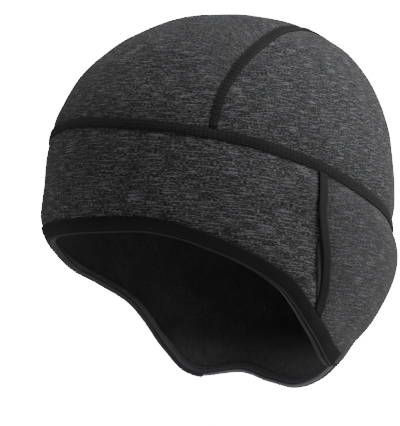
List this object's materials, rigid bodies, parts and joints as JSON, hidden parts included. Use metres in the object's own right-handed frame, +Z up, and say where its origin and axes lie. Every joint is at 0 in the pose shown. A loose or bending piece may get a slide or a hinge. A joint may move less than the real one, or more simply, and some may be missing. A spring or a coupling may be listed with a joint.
{
  "type": "fleece hat",
  "caption": "Fleece skull cap with ear flaps and a long nape, glasses loops at the temples, an elastic-bound face opening and a fleece lining.",
  "frame": {"origin": "inside top of the lining, where the cap sits on the crown of a head", "axes": "+Z up, -Y out of the face opening, +X to the wearer's left"},
  "size_m": [0.1592, 0.2013, 0.1942],
  "materials": {
    "heather_fabric": "matte heather jersey",
    "fleece_lining": "brushed fleece",
    "seam_thread": "flat coverstitched seam",
    "elastic": "smooth knitted elastic"
  },
  "bodies": {
    "root": {"lining": "fleece_lining", "crown_center": "heather_fabric", "crown_side_left": "heather_fabric", "crown_side_right": "heather_fabric", "forehead_band": "heather_fabric", "ear_neck_panel": "heather_fabric", "band_seam": "seam_thread", "crown_seam_left": "seam_thread", "crown_seam_right": "seam_thread", "glasses_loop_left": "elastic", "glasses_loop_right": "elastic", "front_binding": "elastic", "neck_hem": "heather_fabric"}
  },
  "joints": []
}
